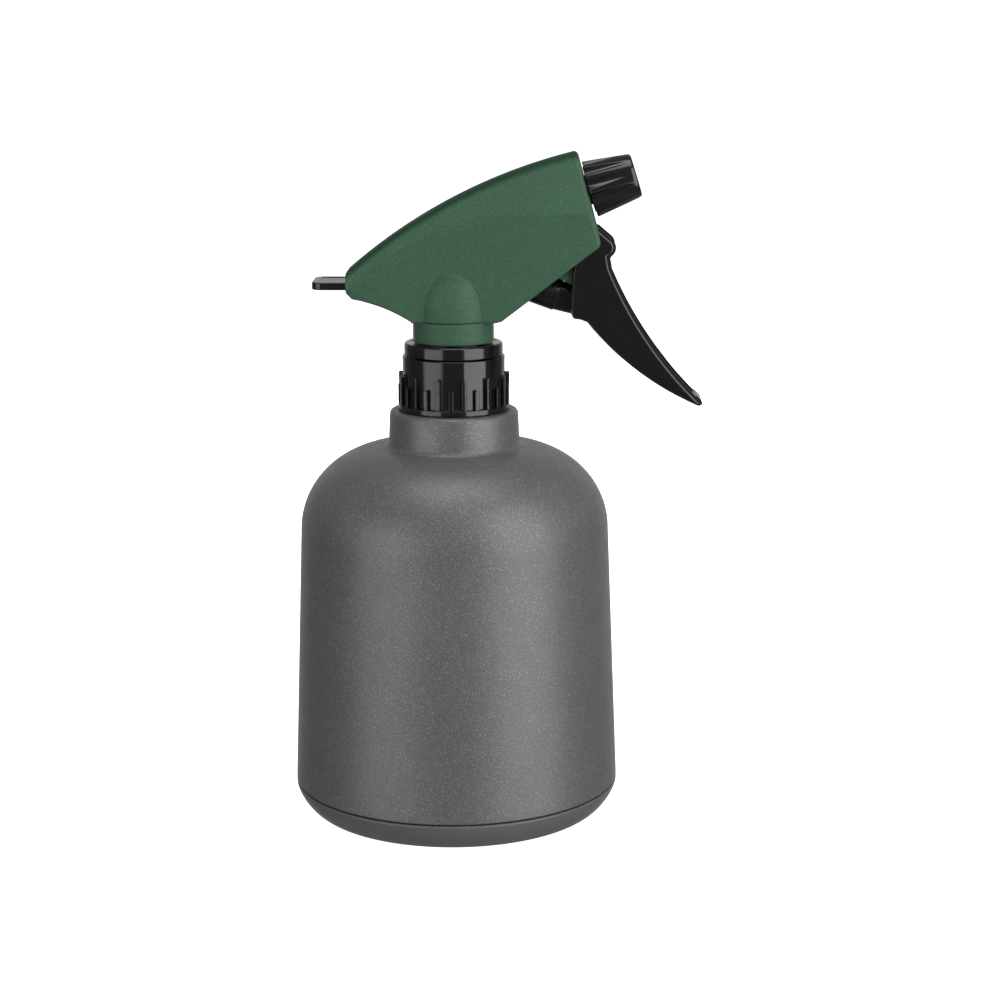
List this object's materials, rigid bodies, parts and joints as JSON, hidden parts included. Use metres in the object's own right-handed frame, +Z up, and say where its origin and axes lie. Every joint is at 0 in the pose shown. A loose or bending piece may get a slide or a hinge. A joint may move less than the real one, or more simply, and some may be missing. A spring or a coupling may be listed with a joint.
{
  "type": "hand mister",
  "caption": "Trigger plant mister: a round bottle with a screw-on pump head, ribbed collar, long curved trigger and a fluted twist nozzle.",
  "frame": {"origin": "centre of the base cup's flat underside, on the ground, on the bottle's axis", "axes": "+Z up along the bottle's axis, +X the way the nozzle sprays, +Y to the left of the spray"},
  "size_m": [0.1259, 0.1006, 0.204],
  "materials": {
    "bottle_grey": "fine-textured moulded plastic with pale flecks",
    "base_grey": "smooth satin moulded plastic",
    "hood_green": "fine-textured satin moulded plastic with pale flecks",
    "black_gloss": "glossy moulded plastic",
    "black_satin": "satin moulded plastic",
    "white_plastic": "natural moulded plastic",
    "clear_tube": "translucent extruded tube",
    "black_rubber": "moulded rubber",
    "steel": "drawn stainless wire and ground pins"
  },
  "bodies": {
    "bottle_body": {"bottle": "bottle_grey", "base_cup": "base_grey"},
    "head": {"neck_gasket": "white_plastic", "retaining_ring": "black_gloss", "pump_body": "black_gloss", "inlet_seat": "white_plastic", "dip_tube": "clear_tube", "tube_strainer": "white_plastic", "shroud": "hood_green", "trigger_pin": "steel", "return_spring": "steel", "outlet_spring": "steel", "spinner": "white_plastic"},
    "collar": {"screw_collar": "black_gloss"},
    "trigger": {"trigger": "black_satin", "link_pin": "steel"},
    "piston": {"piston": "black_gloss", "pressure_seal": "black_rubber", "vent_seal": "black_rubber"},
    "ball": {"inlet_ball": "steel"},
    "outlet_poppet": {"outlet_valve": "white_plastic"},
    "seal_carrier": {"nozzle_seal": "black_rubber"},
    "nozzle": {"nozzle": "black_gloss", "nozzle_insert": "black_gloss"}
  },
  "joints": [
    {"name": "head_lift", "type": "slide", "parent": "bottle_body", "child": "head", "axis": [0, 0, 1], "range_m": [0, 0.15]},
    {"name": "collar_turn", "type": "hinge", "parent": "head", "child": "collar", "pos_m": [0, 0, 0.134], "axis": [0, 0, 1], "range_deg": [0, 540]},
    {"name": "trigger_pull", "type": "hinge", "parent": "head", "child": "trigger", "pos_m": [0.0404, 0, 0.1784], "axis": [0, 1, 0], "range_deg": [0, 22]},
    {"name": "piston_stroke", "type": "slide", "parent": "head", "child": "piston", "axis": [-0.9397, 0, 0.342], "range_m": [0, 0.0078], "deforming": ["return_spring"]},
    {"name": "nozzle_travel", "type": "slide", "parent": "head", "child": "seal_carrier", "axis": [0.9563, 0, 0.2924], "range_m": [0, 0.00275]},
    {"name": "nozzle_turn", "type": "hinge", "parent": "seal_carrier", "child": "nozzle", "pos_m": [0.0413, 0, 0.1925], "axis": [0.9563, 0, 0.2924], "range_deg": [0, 400]},
    {"name": "inlet_ball_lift", "type": "slide", "parent": "head", "child": "ball", "axis": [0, 0, 1], "range_m": [0, 0.0015]},
    {"name": "outlet_valve_lift", "type": "slide", "parent": "head", "child": "outlet_poppet", "axis": [0.9563, 0, 0.2924], "range_m": [0, 0.0008], "deforming": ["outlet_spring"]}
  ],
  "couplings": [
    {"joint": "piston_stroke", "follows": "trigger_pull", "m_per_rad": 0.020087},
    {"joint": "nozzle_turn", "follows": "nozzle_travel", "rad_per_m": 2513.3}
  ]
}
